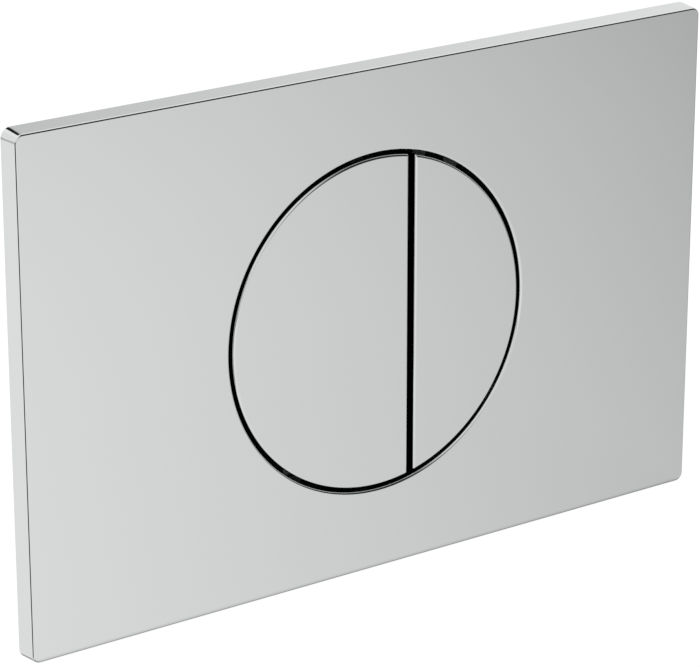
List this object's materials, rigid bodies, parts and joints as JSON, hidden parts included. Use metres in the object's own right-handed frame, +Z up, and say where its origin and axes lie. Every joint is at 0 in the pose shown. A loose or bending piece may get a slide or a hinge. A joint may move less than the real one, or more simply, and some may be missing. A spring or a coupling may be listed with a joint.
{
  "type": "flush button plate",
  "caption": "Rectangular chromed flush plate for a concealed cistern: round opening with a larger and a smaller half-moon button that swing in and push rods to the valve.",
  "frame": {"origin": "middle of the plate on the finished wall's surface", "axes": "+X to the right as the user faces the plate, +Y into the wall, +Z up"},
  "size_m": [0.234, 0.0785, 0.1528],
  "materials": {
    "chrome": "mirror-polished chrome plating on moulded plastic",
    "rocker_plastic": "moulded, satin",
    "carrier_plastic": "moulded, matt black",
    "frame_plastic": "moulded, satin light grey",
    "rod_plastic": "moulded, natural white",
    "guide_plastic": "moulded, satin grey",
    "zinc_steel": "zinc-plated",
    "bright_steel": "drawn wire, bright",
    "soft_rubber": "soft, matt"
  },
  "bodies": {
    "plate": {"front_plate": "chrome", "button_carrier": "carrier_plastic", "carrier_screws": "zinc_steel", "hinge_pin": "bright_steel", "mounting_frame": "frame_plastic", "left_fixing_stud": "zinc_steel", "right_fixing_stud": "zinc_steel", "left_washer": "zinc_steel", "right_washer": "zinc_steel", "left_wing_nut": "zinc_steel", "right_wing_nut": "zinc_steel", "full_flush_rod_guide": "guide_plastic", "half_flush_rod_guide": "guide_plastic"},
    "full_flush": {"full_flush_button": "chrome", "full_flush_rocker": "rocker_plastic", "full_flush_buffers": "soft_rubber", "full_flush_spring": "bright_steel"},
    "half_flush": {"half_flush_button": "chrome", "half_flush_rocker": "rocker_plastic", "half_flush_buffer": "soft_rubber", "half_flush_spring": "bright_steel"},
    "full_rod": {"full_flush_push_rod": "rod_plastic", "full_flush_rod_cap": "rod_plastic"},
    "half_rod": {"half_flush_push_rod": "rod_plastic", "half_flush_rod_cap": "rod_plastic"}
  },
  "joints": [
    {"name": "full_flush_hinge", "type": "hinge", "parent": "plate", "child": "full_flush", "pos_m": [0, 0.0009, 0.0564], "axis": [1, 0, 0], "range_deg": [0, 3], "stiffness_Nm_per_rad": 4, "springref_deg": -3.44, "deforming": ["full_flush_spring"]},
    {"name": "half_flush_hinge", "type": "hinge", "parent": "plate", "child": "half_flush", "pos_m": [0, 0.0009, 0.0564], "axis": [1, 0, 0], "range_deg": [0, 3], "stiffness_Nm_per_rad": 4, "springref_deg": -3.44, "deforming": ["half_flush_spring"]},
    {"name": "full_rod_slide", "type": "slide", "parent": "plate", "child": "full_rod", "axis": [0, 1, 0], "range_m": [0, 0.004]},
    {"name": "half_rod_slide", "type": "slide", "parent": "plate", "child": "half_rod", "axis": [0, 1, 0], "range_m": [0, 0.004]}
  ],
  "couplings": [
    {"joint": "full_rod_slide", "follows": "full_flush_hinge", "m_per_rad": 0.0764},
    {"joint": "half_rod_slide", "follows": "half_flush_hinge", "m_per_rad": 0.0764}
  ]
}
